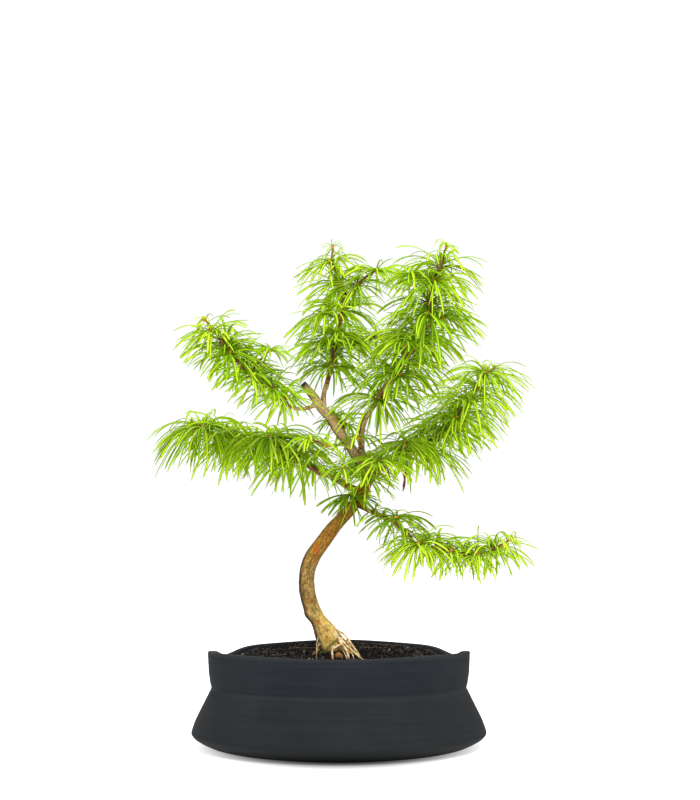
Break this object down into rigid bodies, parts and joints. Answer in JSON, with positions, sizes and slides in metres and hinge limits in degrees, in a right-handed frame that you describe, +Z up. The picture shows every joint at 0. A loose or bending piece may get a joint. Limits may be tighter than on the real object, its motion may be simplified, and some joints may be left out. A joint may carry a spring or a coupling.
{
  "type": "golden larch bonsai in pot",
  "caption": "Small deciduous conifer with an S-curved trunk and drooping lime needles in whorls on spreading limbs, planted in a flared matte charcoal pot.",
  "frame": {"origin": "centre of the pot's flat foot, on the pot's axis, where it meets the surface it stands on", "axes": "+Z up along the pot's axis, -Y towards the front of the tree, +X to the right seen from the front"},
  "size_m": [0.2969, 0.2188, 0.3963],
  "materials": {
    "stoneware": "matte",
    "drain_mesh": "matte",
    "soil": "matte",
    "bark": "matte",
    "needles": "satin"
  },
  "bodies": {
    "root": {"pot": "stoneware", "soil": "soil", "trunk": "bark", "drain_mesh_1": "drain_mesh", "drain_mesh_2": "drain_mesh", "drain_mesh_3": "drain_mesh", "shoot_left_upper": "needles", "shoot_left_upper_twig": "needles", "shoot_top_left": "needles", "shoot_top_left_low_twig": "needles", "shoot_top_left_high_twig": "needles", "shoot_top_right": "needles", "shoot_top_right_low_twig": "needles", "shoot_top_right_outer_twig": "needles", "shoot_top_right_inner_twig": "needles", "shoot_right": "needles", "shoot_right_front_twig": "needles", "shoot_left_lower": "needles", "shoot_right_lower": "needles", "shoot_fork_front": "needles", "shoot_leader_front": "needles", "shoot_centre_front": "needles", "shoot_centre_right": "needles", "shoot_centre_left": "needles", "shoot_rear_fork": "needles", "shoot_rear_leader": "needles"}
  },
  "joints": []
}
